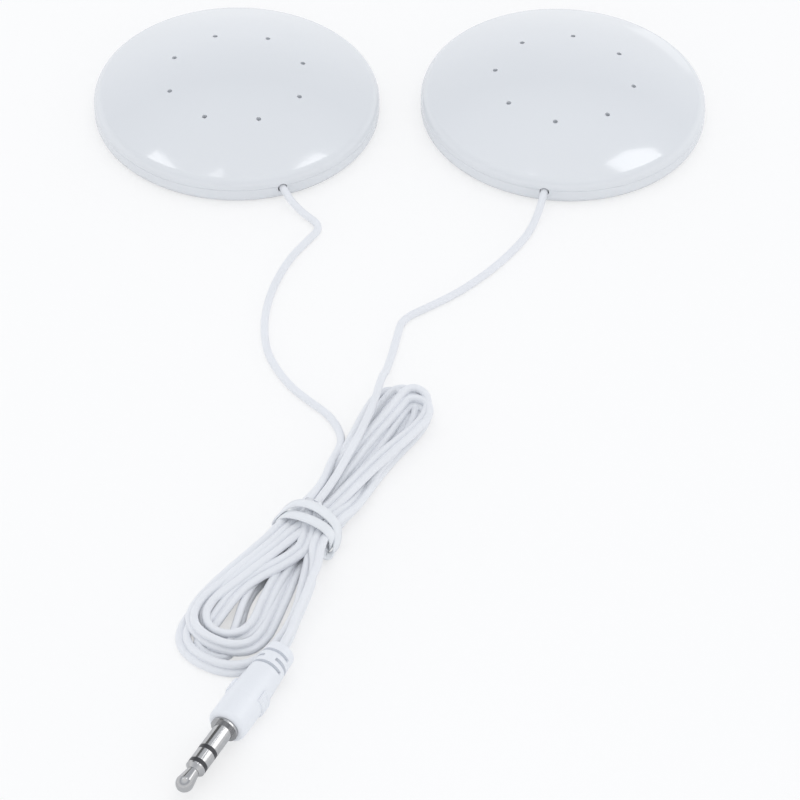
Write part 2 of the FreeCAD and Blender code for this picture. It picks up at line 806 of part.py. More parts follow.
def make_plug_body(doc, s):
    """Soft overmould: front barrel, grip pads, tapered grip and slotted strain relief. Its own Z
    points out of the front face, so everything behind the face lies below zero."""
    body = add_body(doc, "plug_body", PLUG_PLACEMENT)
    sketch = add_sketch(body, "Overmould", "XZ_Plane")
    step = s.shank_length + s.tube_step
    draw_outline(sketch, [
        (s.shank_radius, 0),
        (s.body_radius - s.front_round, 0),
        (s.body_radius, -s.front_round),
        (s.body_radius, -s.grip_start),
        (s.grip_end_radius, -(s.grip_start + s.grip_length)),
        (s.relief_radius, -s.relief_start),
        (s.boot_radius, -(s.body_length - s.boot_round)),
        (s.boot_radius - s.boot_round, -s.body_length),
        (s.twin_width / 2, -s.body_length),
        (s.twin_width / 2, -s.contact_depth),
        (s.rod_radius, -s.contact_depth),
        (s.rod_radius, -(step + 2 * s.tube_step)),
        (s.tube_one, -(step + 2 * s.tube_step)),
        (s.tube_one, -(step + s.tube_step)),
        (s.tube_two, -(step + s.tube_step)),
        (s.tube_two, -step),
        (s.tube_three, -step),
        (s.tube_three, -s.shank_length),
        (s.shank_radius, -s.shank_length),
    ], {1: (s.front_round, -1), 6: (s.boot_round, -1)})
    turn(body, sketch, "OvermouldTurn")
    add_grip_pads(body, s)
    for row in range(RELIEF_ROWS):
        cut_relief_row(body, s, row)
    return body


def add_grip_pads(body, s):
    """Two raised pads, one on each side, with ridges across each."""
    sketch = add_sketch(body, "GripPad", "XZ_Plane")
    pad_radius = s.body_radius + s.grip_rise - s.ridge_rise
    crest = s.body_radius + s.grip_rise
    bands = 2 * GRIP_RIDGES + 1
    pitch = s.grip_length / bands
    root_radius = s.relief_radius - s.slot_floor
    places = [(root_radius, -s.grip_start)]
    for number in range(bands):
        radius = crest if number % 2 else pad_radius
        places.append((radius, -(s.grip_start + number * pitch + s.ridge_flank)))
        places.append((radius, -(s.grip_start + (number + 1) * pitch - s.ridge_flank)))
    places.append((root_radius, -(s.grip_start + s.grip_length)))
    draw_outline(sketch, places)
    first = turn(body, sketch, "GripPadTurn", angle=s.grip_angle)
    repeat_round(body, first, "GripPads", 2)


def cut_relief_row(body, s, row):
    """Two slots of one row of the strain relief. The middle row faces the sides."""
    plane = "XZ_Plane" if row == 1 else "YZ_Plane"
    sketch = add_sketch(body, "ReliefSlot%d" % row, plane)
    floor = s.twin_width / 2 + s.slot_floor
    back = -(s.relief_start + row * s.slot_pitch + s.slot_width)
    draw_box(sketch, (floor, back), (s.body_radius, back + s.slot_width))
    cut = turn(body, sketch, "ReliefSlotCut%d" % row, kind="Groove", angle=s.slot_angle)
    repeat_round(body, cut, "ReliefSlots%d" % row, 2)


def plug_turned(doc, s, name, places, arcs=None):
    body = add_body(doc, name, PLUG_PLACEMENT)
    sketch = add_sketch(body, "Section", "XZ_Plane")
    draw_outline(sketch, places, arcs)
    turn(body, sketch, "SectionTurn")
    return body


def make_plug_sleeve(doc, s):
    """Ground contact: plain cylinder, collar on the body's face and shank in the overmould."""
    return plug_turned(doc, s, "plug_sleeve", [
        (s.tube_three, -s.shank_length),
        (s.shank_radius, -s.shank_length),
        (s.shank_radius, 0),
        (s.collar_radius, 0),
        (s.collar_radius, s.collar_thickness),
        (s.pin_radius, s.collar_thickness),
        (s.pin_radius, s.pin_sleeve),
        (s.tube_three, s.pin_sleeve),
    ])


def make_contact_tube(doc, s, name, inner, outer, tail, radius, low, high):
    """Short cylinder at the surface with a thin tube that runs back inside the next piece."""
    return plug_turned(doc, s, name, [
        (inner, tail),
        (outer, tail),
        (outer, low),
        (radius, low),
        (radius, high),
        (inner, high),
    ])


def make_plug_stack(doc, s):
    """Insulators and ring contact between the sleeve and the tip."""
    low = s.pin_sleeve
    tail = -(s.shank_length + s.tube_step)
    make_contact_tube(doc, s, "rear_insulator", s.tube_two, s.tube_three, tail, s.pin_radius,
                      low, low + s.band_width)
    make_contact_tube(doc, s, "plug_ring", s.tube_one, s.tube_two, tail - s.tube_step, s.pin_radius,
                      low + s.band_width, low + s.band_width + s.ring_length)
    make_contact_tube(doc, s, "front_insulator", s.rod_radius, s.tube_one, tail - 2 * s.tube_step,
                      s.pin_radius, low + s.band_width + s.ring_length, s.pin_length - s.tip_length)


def make_plug_tip(doc, s):
    """Tip contact: nose, ball, waist and collar, turned in one with its rod."""
    foot = s.pin_length - s.tip_length
    ball = s.pin_length - s.tip_cone
    return plug_turned(doc, s, "plug_tip", [
        (0, -s.contact_depth),
        (s.rod_radius, -s.contact_depth),
        (s.rod_radius, foot),
        (s.pin_radius, foot),
        (s.pin_radius, foot + s.tip_collar - s.tip_chamfer),
        (s.tip_neck_radius, foot + s.tip_collar + s.tip_chamfer),
        (s.tip_ball_radius, ball),
        (s.tip_nose_radius, s.pin_length),
        (0, s.pin_length),
    ], {6: (s.tip_nose_round, 1)})


def hank_matrix(s):
    base = Vector(s.hank_x.number, s.hank_y.number, 0)
    return FreeCAD.Placement(base, FreeCAD.Rotation(Vector(0, 0, 1), s.hank_heading.number))


def rounded_loop(points):
    """Closed outline with tangent arcs at its corners, as one flat wire."""
    edges = []
    count = len(points)
    corners = [corner_arc(points[i - 1], points[i], points[(i + 1) % count]) for i in range(count)]
    for number, (start, middle, end, radius) in enumerate(corners):
        edges.append(Part.LineSegment(corners[number - 1][2], start).toShape())
        edges.append(Part.Arc(start, middle, end).toShape())
    return Part.Wire(edges)


def flat_slab(outline, height):
    wire = rounded_loop([Vector(x, y, 0) for x, y in outline])
    return Part.Face(wire).extrude(Vector(0, 0, height))


def level_edges(shape, heights):
    """Edges that lie flat at one of the heights."""
    found = []
    for edge in shape.Edges:
        box = edge.BoundBox
        if box.ZLength < SAME_POINT and min(abs(box.ZMin - height) for height in heights) < SAME_POINT:
            found.append(edge)
    return found


def hank_end(s, outline, opening):
    """One looped end of the hank: its rounded outline, with the opening in the loop's middle."""
    height = s.hank_bulk.number
    body = flat_slab(outline, height)
    body = body.makeFillet(s.hank_round.number, level_edges(body, (0, height)))
    hole = flat_slab(opening, height)
    before = {round(edge.Length, 5) for edge in body.Edges}
    body = body.cut(hole)
    rim = [edge for edge in level_edges(body, (0, height)) if round(edge.Length, 5) not in before]
    return body.makeFillet(s.opening_round.number, rim)


def make_cord_hank(doc, s):
    """Outer shape of the wound cord: a looped end each side of the tied waist."""
    upper = hank_end(s, UPPER_OUTLINE, UPPER_OPENING)
    lower = hank_end(s, LOWER_OUTLINE, LOWER_OPENING)
    low = s.tie_thickness.number + s.tie_gap.number
    waist = rounded_bar(s.waist_length.number, s.waist_width.number, s.waist_height.number,
                        s.waist_round.number, low)
    return add_shape(doc, "cord_hank", waist.multiFuse([upper, lower]), hank_matrix(s))


def rounded_bar(length, width, height, radius, low):
    """Bar along X, centred on it, with its four long edges rounded."""
    bar = Part.makeBox(length, width, height, Vector(-length / 2, -width / 2, low))
    long_edges = [edge for edge in bar.Edges if abs(edge.tangentAt(edge.FirstParameter).x) > 0.9]
    return bar.makeFillet(radius, long_edges)


def make_cord_tie(doc, s):
    """Flat tie round the waist: two turns side by side, joined on top where the strip crosses."""
    gap, thickness = s.tie_gap.number, s.tie_thickness.number
    width, height = s.waist_width.number + 2 * gap, s.waist_height.number + 2 * gap
    radius = s.waist_round.number + gap
    turns = []
    for sign in (-1, 1):
        outer = rounded_bar(s.tie_width.number, width + 2 * thickness, height + 2 * thickness,
                            radius + thickness, 0)
        inner = rounded_bar(s.tie_width.number * 2, width, height, radius, thickness)
        ring = outer.cut(inner)
        ring.translate(Vector(sign * s.tie_lead.number, 0, 0))
        turns.append(ring)
    reach = 2 * s.tie_lead.number
    bridge = Part.makeBox(reach, width / 2, thickness, Vector(-reach / 2, -width / 4, height + thickness))
    shape = turns[0].multiFuse([turns[1], bridge]).removeSplitter()
    return add_shape(doc, "cord_tie", shape, hank_matrix(s))


def lead_points(s, side, route, end):
    """A lead from its knot through the rim hole, along its route and to the hank's waist."""
    matrix = speaker_matrix(s, side)
    low = s.cord_hole_height.number
    outside = (s.speaker_radius + s.exit_run).number
    first = matrix.multVec(Vector(0, -s.gate_face.number, low))
    second = matrix.multVec(Vector(0, -outside, low))
    waist = hank_matrix(s)
    half = s.waist_length.number / 2
    last = [waist.multVec(Vector(half + s.waist_run.number, *end)), waist.multVec(Vector(half, *end))]
    return [first, second] + [Vector(*point) for point in route] + last


def make_leads(doc, s):
    diameter = s.cord_diameter.number
    left = lead_points(s, "left", LEFT_LEAD_ROUTE, LEFT_LEAD_END)
    right = lead_points(s, "right", RIGHT_LEAD_ROUTE, RIGHT_LEAD_END)
    add_shape(doc, "left_lead", tube(left, diameter, "left_lead"))
    add_shape(doc, "right_lead", tube(right, diameter, "right_lead"))


def make_plug_lead(doc, s, hank):
    """The twin cable's last stretch, from the hank's waist into the plug. It starts slanted, so
    the waist cuts its end to meet it face to face."""
    waist, plug = hank_matrix(s), plug_matrix(s)
    inside = s.waist_length.number / 2 - s.waist_bite.number
    points = [waist.multVec(Vector(-inside, *PLUG_LEAD_START))]
    points += [waist.multVec(Vector(*point)) for point in PLUG_LEAD_ROUTE]
    points.append(plug.multVec(Vector(0, 0, -(s.body_length + s.boot_run).number)))
    points.append(plug.multVec(Vector(0, 0, -s.contact_depth.number)))
    shape = tube(points, s.twin_width.number, "plug_lead")
    add_shape(doc, "plug_lead", shape.cut(hank.Shape))


def check_objects(doc):
    for item in doc.Objects:
        bad = [state for state in item.State if state in ("Invalid", "Error")]
        if bad:
            raise RuntimeError("%s is %s" % (item.Label, bad))


def export_parts(doc):
    """Write every sub-part that is whole and valid, under its own name."""
    kinds = ("PartDesign::Body", "Part::Feature")
    parts = [item for item in doc.Objects if item.TypeId in kinds]
    for item in parts:
        if item.Shape.isNull() or not item.Shape.isValid() or not item.Shape.Solids:
            raise RuntimeError("%s has no valid solid" % item.Label)
    os.makedirs("parts", exist_ok=True)
    for item in parts:
        item.Shape.exportStep("parts/%s.step" % item.Label)
    print("%d sub-parts written" % len(parts))


def main():
    doc = FreeCAD.newDocument("PillowSpeaker")
    sheet, sizes = make_sheet(doc)
    derive_sizes(doc, sheet, sizes)
    for side in SIDES:
        make_speaker(doc, sizes, side)
    make_plug_body(doc, sizes)
    make_plug_sleeve(doc, sizes)
    make_plug_stack(doc, sizes)
    make_plug_tip(doc, sizes)
    hank = make_cord_hank(doc, sizes)
    make_cord_tie(doc, sizes)
    make_leads(doc, sizes)
    make_plug_lead(doc, sizes, hank)
    doc.recompute()
    check_objects(doc)
    export_parts(doc)


main()
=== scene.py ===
import math

import bmesh
import bpy
from mathutils import Matrix, Vector
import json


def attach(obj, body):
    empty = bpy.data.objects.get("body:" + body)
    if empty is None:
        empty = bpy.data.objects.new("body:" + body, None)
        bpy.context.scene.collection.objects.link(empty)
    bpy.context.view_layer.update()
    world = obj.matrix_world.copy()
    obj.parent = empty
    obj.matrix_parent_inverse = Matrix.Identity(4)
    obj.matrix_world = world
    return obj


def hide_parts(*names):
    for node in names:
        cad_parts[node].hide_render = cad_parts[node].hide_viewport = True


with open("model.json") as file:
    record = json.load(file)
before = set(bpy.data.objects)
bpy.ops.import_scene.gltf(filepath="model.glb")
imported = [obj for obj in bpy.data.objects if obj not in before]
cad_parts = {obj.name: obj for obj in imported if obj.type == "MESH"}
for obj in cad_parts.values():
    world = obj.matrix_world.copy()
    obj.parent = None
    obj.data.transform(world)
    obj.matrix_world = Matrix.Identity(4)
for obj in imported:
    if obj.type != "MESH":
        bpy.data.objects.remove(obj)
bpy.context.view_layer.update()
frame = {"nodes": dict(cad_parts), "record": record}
nodes = frame["nodes"]
MM = 0.001
scene = bpy.context.scene
scene.view_settings.view_transform = "Standard"


def link(obj):
    scene.collection.objects.link(obj)
    return obj


# Camera, in the part's frame, fitted to the photograph.
CAMERA_PLACE = Vector((-21.352, -589.799, 475.328)) * MM
CAMERA_RIGHT = Vector((0.99960, -0.02007, 0.02006))
CAMERA_UP = Vector((-0.00082, 0.68603, 0.72757))
CAMERA_LENS, CAMERA_SENSOR = 166.5, 36
CAMERA_CLIP = (0.01, 20)


def make_camera():
    camera = link(bpy.data.objects.new("photo_camera", bpy.data.cameras.new("photo_camera")))
    camera.data.lens, camera.data.sensor_width = CAMERA_LENS, CAMERA_SENSOR
    camera.data.clip_start, camera.data.clip_end = CAMERA_CLIP
    back = CAMERA_RIGHT.cross(CAMERA_UP).normalized()
    up = back.cross(CAMERA_RIGHT).normalized()
    turn = Matrix((CAMERA_RIGHT.normalized(), up, back)).transposed()
    camera.matrix_world = Matrix.Translation(CAMERA_PLACE) @ turn.to_4x4()
    scene.camera = camera


make_camera()

# Materials.
DRIFT_BAND = (0.3, 0.7)  # part of the noise's range over which the colour changes
SMOOTHEST = 0.02  # least roughness of any surface
COLOUR_DETAIL, BUMP_DETAIL = 3.0, 2.0


class Look:
    """One procedural material: colour drift, roughness drift and fine bumps on a principled shader."""

    def __init__(self, name, colour, rough, metal=0.0):
        self.material = bpy.data.materials.new(name)
        self.material.use_nodes = True
        self.tree = self.material.node_tree
        self.shader = self.tree.nodes["Principled BSDF"]
        self.shader.inputs["Metallic"].default_value = metal
        self.place = self.tree.nodes.new("ShaderNodeTexCoord").outputs["Object"]
        self.colour, self.rough = colour, rough
        self.height = None

    def noise(self, scale, detail, stretch=None):
        place = self.place
        if stretch:
            mapping = self.tree.nodes.new("ShaderNodeMapping")
            mapping.inputs["Scale"].default_value = stretch
            self.tree.links.new(place, mapping.inputs["Vector"])
            place = mapping.outputs["Vector"]
        node = self.tree.nodes.new("ShaderNodeTexNoise")
        node.inputs["Scale"].default_value = scale
        node.inputs["Detail"].default_value = detail
        self.tree.links.new(place, node.inputs["Vector"])
        return node.outputs["Fac"]

    def drift(self, scale, amount):
        """Colour between a darker and a lighter mix, by a noise of this scale."""
        ramp = self.tree.nodes.new("ShaderNodeValToRGB")
        for element, place, sign in zip(ramp.color_ramp.elements, DRIFT_BAND, (-1, 1)):
            element.position = place
            element.color = [min(1, c * (1 + sign * amount)) for c in self.colour] + [1]
        self.tree.links.new(self.noise(scale, COLOUR_DETAIL), ramp.inputs["Fac"])
        self.tree.links.new(ramp.outputs["Color"], self.shader.inputs["Base Color"])
        return self

    def wear(self, scale, amount):
        """Roughness that varies over the surface by this much either way."""
        node = self.tree.nodes.new("ShaderNodeMapRange")
        node.inputs["To Min"].default_value = max(SMOOTHEST, self.rough - amount)
        node.inputs["To Max"].default_value = self.rough + amount
        self.tree.links.new(self.noise(scale, COLOUR_DETAIL), node.inputs["Value"])
        self.tree.links.new(node.outputs["Result"], self.shader.inputs["Roughness"])
        return self

    def bump(self, scale, depth, stretch=None):
        """Bump of this depth in metres, added to those that the material has."""
        node = self.tree.nodes.new("ShaderNodeBump")
        node.inputs["Distance"].default_value = depth
        node.inputs["Strength"].default_value = 1.0
        self.tree.links.new(self.noise(scale, BUMP_DETAIL, stretch), node.inputs["Height"])
        if self.height:
            self.tree.links.new(self.height, node.inputs["Normal"])
        self.height = node.outputs["Normal"]
        self.tree.links.new(self.height, self.shader.inputs["Normal"])
        return self

    def coat(self, weight, rough):
        self.shader.inputs["Coat Weight"].default_value = weight
        self.shader.inputs["Coat Roughness"].default_value = rough
        return self


# Looks by slot. Drift, wear and each bump start with the scale of their noise, per metre. Then come the share
# by which the colour drifts, the amount by which the roughness varies, and the bump's depth in metres, with
# the stretch of its noise where it has one.
LOOKS = {
    "shell": dict(colour=(0.755, 0.775, 0.80), rough=0.09, drift=(25, 0.012), wear=(60, 0.02),
                  bumps=[(90, 12e-6), (1800, 1.5e-6)], coat=(0.5, 0.03)),
    "cord": dict(colour=(0.83, 0.845, 0.875), rough=0.42, drift=(120, 0.015), wear=(400, 0.06),
                 bumps=[(2600, 6e-6), (300, 20e-6)]),
    "tie": dict(colour=(0.83, 0.85, 0.875), rough=0.36, drift=(300, 0.02), wear=(500, 0.08),
                bumps=[(900, 20e-6)]),
    "boot": dict(colour=(0.83, 0.85, 0.885), rough=0.40, drift=(90, 0.015), wear=(300, 0.06),
                 bumps=[(3500, 8e-6), (160, 20e-6)]),
    "contact": dict(colour=(0.47, 0.47, 0.475), rough=0.13, metal=1.0,
                    drift=(200, 0.03), wear=(600, 0.04), bumps=[(2500, 2e-6)]),
    "insulator": dict(colour=(0.03, 0.03, 0.035), rough=0.35, drift=(400, 0.1), wear=(500, 0.08),
                      bumps=[(3000, 4e-6)]),
    "cloth": dict(colour=(0.84, 0.85, 0.87), rough=0.9, drift=(900, 0.08), wear=(900, 0.05),
                  bumps=[(4000, 40e-6)]),
    "pressed_steel": dict(colour=(0.55, 0.55, 0.56), rough=0.32, metal=1.0,
                          drift=(150, 0.05), wear=(300, 0.08), bumps=[(2200, 4e-6)]),
    "plated_steel": dict(colour=(0.60, 0.60, 0.62), rough=0.26, metal=1.0,
                         drift=(150, 0.05), wear=(300, 0.08), bumps=[(2400, 3e-6)]),
    "magnet": dict(colour=(0.55, 0.55, 0.57), rough=0.2, metal=1.0,
                   drift=(150, 0.04), wear=(300, 0.05), bumps=[(1800, 3e-6)]),
    "film": dict(colour=(0.80, 0.78, 0.70), rough=0.3, drift=(200, 0.03), wear=(200, 0.06),
                 bumps=[(700, 20e-6)]),
    "copper_wire": dict(colour=(0.72, 0.40, 0.22), rough=0.3, metal=1.0,
                        drift=(600, 0.06), wear=(500, 0.06), bumps=[(5000, 20e-6, (0.2, 0.2, 4.0))]),
    "foam": dict(colour=(0.10, 0.10, 0.10), rough=0.95, drift=(900, 0.2), wear=(900, 0.04),
                 bumps=[(2600, 80e-6)]),
    "board": dict(colour=(0.10, 0.32, 0.16), rough=0.45, drift=(500, 0.06), wear=(500, 0.05),
                  bumps=[(3000, 10e-6, (1.0, 0.3, 1.0))]),
    "wire_skin": dict(colour=(0.75, 0.20, 0.16), rough=0.4, drift=(400, 0.04), wear=(500, 0.05),
                      bumps=[(3000, 6e-6)]),
}


def make_look(name, colour, rough, drift, wear, bumps, metal=0.0, coat=None):
    look = Look(name, colour, rough, metal).drift(*drift).wear(*wear)
    for bump in bumps:
        look.bump(*bump)
    if coat:
        look.coat(*coat)
    return look


looks = {slot: make_look(slot, **values) for slot, values in LOOKS.items()}


def paint(obj, slot):
    obj.data.materials.clear()
    obj.data.materials.append(looks[slot].material)


for item in frame["record"]["subparts"]:
    paint(nodes[item["node"]], item["material_slot"])

# Cords, in millimetres. Each lead's points are those of the part's tube.
LEFT_LEAD_ROUTE = [
    (-25.27, -23.29, 2.85), (-23.13, -29.58, 2.85), (-20.2, -32.7, 1.1), (-16.0, -36.7, 0.75),
    (-19.0, -41.1, 0.75), (-22.5, -46.4, 0.75), (-25.5, -54.2, 0.75), (-27.0, -61.3, 0.75),
    (-27.3, -67.8, 0.75), (-26.4, -74.6, 0.75), (-22.7, -82.2, 0.75), (-18.7, -86.8, 0.75),
    (-14.9, -90.6, 0.75), (-12.9, -95.3, 0.8), (-12.8, -99.4, 1.4), (-14.7, -105.7, 3.5),
]
RIGHT_LEAD_ROUTE = [
    (28.80, -24.20, 2.85), (27.61, -30.75, 2.85), (26.2, -34.6, 1.1), (24.3, -39.2, 0.75),
    (20.6, -44.9, 0.75), (15.9, -50.6, 0.75), (10.2, -56.2, 0.75), (4.6, -60.2, 0.75),
    (-0.9, -63.9, 0.75), (-1.9, -68.8, 0.75), (-3.0, -74.0, 0.75), (-4.2, -79.9, 2.0),
    (-5.2, -85.5, 5.9), (-6.6, -92.0, 5.8), (-9.0, -99.5, 5.6), (-12.7, -108.9, 5.6),
]
LEAD_THICKNESS = 1.5
CONDUCTOR = 1.5  # thickness of each of the twin cord's two jackets
GROOVE_ANGLE = 163  # from a jacket's outer edge round to the groove, in degrees
JACKET_STEPS = 12
SPLINE_STEPS = 12
TUBE_STEPS = 6

# Hank axes: s along the hank, u across it and z up, from the place under the tie.
TIE_PLACE = Vector((-19.0, -121.5, 0.0))
HANK_HEADING = math.radians(58.66)
ALONG = Vector((math.cos(HANK_HEADING), math.sin(HANK_HEADING), 0))
ACROSS = Vector((-math.sin(HANK_HEADING), math.cos(HANK_HEADING), 0))


def hank_point(s, u, z):
    return tuple(TIE_PLACE + ALONG * s + ACROSS * u + Vector((0, 0, z)))


# Each lead's last points: how far along the hank, and how far across from its own jacket of the twin cord.
LEAD_ENDS = ((8.7, 0.2), (3.2, 0.0))
# Passes of the cord through the tie: across and up at the upper side, then at the lower side.
UPPER_SIDE, LOWER_SIDE = 3.8, -3.8
PASSES = [
    ((1.0, 5.5), (-2.4, 3.6)),
    ((-0.4, 1.35), (-0.1, 1.35)),
    ((-1.6, 4.1), (0.6, 4.0)),
    ((0.4, 2.9), (-1.2, 2.75)),
    ((-3.4, 1.35), (-2.9, 1.35)),
    ((2.9, 2.8), (3.2, 4.0)),
    ((-3.8, 2.75), (-3.9, 2.75)),
    ((2.6, 1.35), (3.0, 1.35)),
    ((-4.0, 4.1), (-4.1, 4.4)),
]
# Stations of each leg of a loop, as shares of the way from the tie to the loop's end.
STATIONS = (0.15, 0.5, 0.85, 1.0)
# Loops in their order along the cord, at the lower side and the upper side in turn. Each row gives how far
# the loop reaches, how far across the cord runs at the stations of its left leg and of its right leg, the leg
# that comes first, and then height and roll (0 flat, 1 on edge) at even steps from the left leg to the right.
LOOPS = [
    (33.8, (-2.4, 2.4, 2.0, 2.0), (0.2, 1.2, -2.9, -3.3), "left",
     (3.6, 3.3, 0.8, 1.3, 1.35), (0, 0, 0.1, 1, 0)),
    (38.6, (-0.4, -0.6, 0.9, 1.2), (-2.0, -2.9, -4.6, -3.0), "left",
     (3.0, 3.0, 2.0, 4.0, 4.1), (0, 0.1, 0.8, 0, 0)),
    (30.9, (1.2, 3.2, 5.3, 2.3), (-1.2, -2.6, -5.1, -2.0), "left",
     (4.0, 3.8, 2.3, 2.1, 2.75), (0, 0.2, 1, 0.2, 0)),
    (40.4, (1.0, 1.6, 1.6, 2.1), (-3.3, -3.1, -3.7, -2.0), "left",
     (2.9, 4.0, 2.9, 1.4, 1.35), (0, 0, 0.9, 0.9, 0)),
    (33.0, (3.7, 5.7, 6.9, 3.1), (-2.6, -5.3, -7.6, -4.0), "right",
     (4.0, 3.3, 2.9, 1.4, 1.3), (0, 0.3, 1, 0.1, 0)),
    (40.6, (2.6, 3.3, 4.6, 4.7), (-4.0, -2.8, -4.0, -0.9), "left",
     (2.8, 2.2, 1.5, 1.0, 2.75), (0, 0.15, 0.4, 0, 0)),
    (36.5, (4.0, 6.3, 6.9, 2.6), (-5.1, -9.7, -10.1, -6.0), "right",
     (1.35, 1.0, 1.3, 1.5, 2.75), (0, 0.1, 0.6, 1, 0.7)),
    (39.0, (2.5, 4.1, 6.6, 6.2), (-4.6, -2.2, -1.3, 0.6), "left",
     (1.35, 1.8, 1.5, 1.0, 4.1), (0, 0.3, 0.4, 0, 0)),
]
# From the hank to the plug, as (s, u, z, roll), and on into the plug's body at these depths behind its face.
PLUG_CORD = [
    (-8.9, -7.2, 4.7, 0.6), (-13.5, -8.8, 4.5, 1.0), (-17.6, -9.8, 4.0, 1.0), (-21.5, -10.5, 3.5, 1.0),
]
PLUG_FACE = Vector((-33.1, -170.51, 3.5))
PLUG_AXIS = Vector((-0.4741, -0.8805, 0.0))
IN_THE_BOOT = (-21.85, -8.7)


def table_value(row, share):
    """Value of a row at a share of the way from its first place to its last."""
    place = share * (len(row) - 1)
    low = min(int(place), len(row) - 2)
    return row[low] + (row[low + 1] - row[low]) * (place - low)


def loop_points(number, side):
    """One loop's points as (s, u, z, roll), from its first leg round its end to its other leg."""
    reach, left, right, first, heights, rolls = LOOPS[number]
    stations = list(zip(STATIONS, left)) + list(zip(STATIONS, right))[::-1]
    points = []
    for step, (out, across) in enumerate(stations, start=1):
        share = step / (len(stations) + 1)
        roll = table_value(rolls, share)
        lowest = CONDUCTOR / 2 * (1 + math.sin(roll * math.pi / 2))
        height = max(lowest, table_value(heights, share))
        if first == "right":
            roll = -roll  # the cord runs the other way round, and leans the same way
        points.append((side * (UPPER_SIDE + (reach - UPPER_SIDE) * out), across, height, roll))
    return points if first == "left" else points[::-1]


def twin_route():
    """Control points and rolls of the twin cord, from the leads' meeting under the tie to the plug."""
    ends = [((UPPER_SIDE, *up, 0.0), (LOWER_SIDE, *down, 0.0)) for up, down in PASSES]
    route = list(ends[0])
    for number, (up, down) in enumerate(ends[1:]):
        lower = number % 2 == 0
        route += loop_points(number, -1 if lower else 1)
        route += [down, up] if lower else [up, down]
    route += PLUG_CORD
    points = [(hank_point(*place[:3]), place[3]) for place in route]
    return points + [(tuple(PLUG_FACE + PLUG_AXIS * depth), 1.0) for depth in IN_THE_BOOT]


def spline_curve(name, points, radius=0.0):
    """Open NURBS curve with these control points and this radius in metres, or a bare line without one."""
    data = bpy.data.curves.new(name, "CURVE")
    data.dimensions = "3D"
    data.resolution_u = SPLINE_STEPS
    data.bevel_depth = 1.0 if radius else 0.0  # the points' own radius gives the thickness
    data.bevel_resolution = TUBE_STEPS
    data.use_fill_caps = True
    spline = data.splines.new("NURBS")
    spline.points.add(len(points) - 1)
    for place, point in zip(points, spline.points):
        point.co = (*(c * MM for c in place), 1)
        point.radius = radius
    spline.order_u = 3
    spline.use_endpoint_u = True
    return link(bpy.data.objects.new(name, data))


def spline_line(points):
    """Points along the NURBS spline of a cord, as Blender evaluates it."""
    curve = spline_curve("line", points)
    mesh = bpy.data.meshes.new_from_object(curve)
    line = [v.co.copy() for v in mesh.vertices]
    bpy.data.objects.remove(curve)
    return line


def length_of(line):
    return sum((b - a).length for a, b in zip(line, line[1:]))


def spread(values, count):
    """Values at the control points, spread smoothly over a line of this many points.
    The spline has one span fewer than there are legs between the points, so the first half span and the last
    one go at twice the pace."""
    last = len(values) - 1
    out = []
    for number in range(count):
        done = number / (count - 1) * (last - 1)
        to_go = last - 1 - done
        place = done + 0.5
        if done < 0.5:
            place = done * 2
        if to_go < 0.5:
            place = last - to_go * 2
        low = min(int(place), last - 1)
        share = place - low
        share = share * share * (3 - 2 * share)
        out.append(values[low] * (1 - share) + values[low + 1] * share)
    return out


def sweep(name, line, section, frames, creases=()):
    """Mesh that carries a closed section (pairs of width and thickness places) along a line.
    Creases are the section's points whose edges along the line stay sharp."""
    mesh = bpy.data.meshes.new(name)
    bm = bmesh.new()
    rings = []
    for place, (wide, thick) in zip(line, frames):
        rings.append([bm.verts.new(place + wide * a + thick * b) for a, b in section])
    count = len(section)
    for one, two in zip(rings, rings[1:]):
        for k in range(count):
            bm.faces.new((one[k], one[(k + 1) % count], two[(k + 1) % count], two[k]))
    bm.faces.new(rings[0][::-1])
    bm.faces.new(rings[-1])
    bmesh.ops.recalc_face_normals(bm, faces=bm.faces)
    for face in bm.faces:
        face.smooth = True
    for one, two in zip(rings, rings[1:]):
        for k in creases:
            bm.edges.get((one[k], two[k])).smooth = False
    bm.to_mesh(mesh)
    bm.free()
    return link(bpy.data.objects.new(name, mesh))


def tangents(line):
    last = len(line) - 1
    return [(line[min(i + 1, last)] - line[max(i - 1, 0)]).normalized() for i in range(last + 1)]


def rolled_frames(line, rolls):
    """Width and thickness directions, turned about the line by each roll from flat to on edge."""
    frames = []
    for way, roll in zip(tangents(line), rolls):
        level = Vector((0, 0, 1)).cross(way).normalized()
        upright = way.cross(level).normalized()
        angle = roll * math.pi / 2
        wide = level * math.cos(angle) + upright * math.sin(angle)
        frames.append((wide, way.cross(wide).normalized()))
    return frames


def twin_section():
    """Two round jackets side by side with a groove between them, in metres."""
    radius = CONDUCTOR / 2 * MM
    half = []
    for k in range(JACKET_STEPS + 1):
        angle = math.radians(GROOVE_ANGLE - 2 * GROOVE_ANGLE * k / JACKET_STEPS)
        half.append((radius + radius * math.cos(angle), radius * math.sin(angle)))
    return half + [(-a, -b) for a, b in half]


def make_lead(side, route, beside):
    """Lead from its gate to the tie, where it runs on as the twin cord's jacket on its own side."""
    meeting, high = PASSES[0][0]
    across = meeting + beside
    points = route + [hank_point(s, across + shift, high) for s, shift in LEAD_ENDS]
    piece = spline_curve("%s_lead_cord" % side, points, LEAD_THICKNESS / 2 * MM)
    length = length_of(spline_line(points))
    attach(piece, "root")
    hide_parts("%s_lead" % side)
    paint(piece, "cord")


def make_twin_cord():
    """Twin cord, wound in its hank and on to the plug."""
    route = twin_route()
    line = spline_line([place for place, _ in route])
    rolls = spread([roll for _, roll in route], len(line))
    section = twin_section()
    half = len(section) // 2
    groove = (0, half - 1, half, 2 * half - 1)
    piece = sweep("twin_cord", line, section, rolled_frames(line, rolls), groove)
    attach(piece, "root")
    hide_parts("cord_hank", "plug_lead")
    paint(piece, "cord")


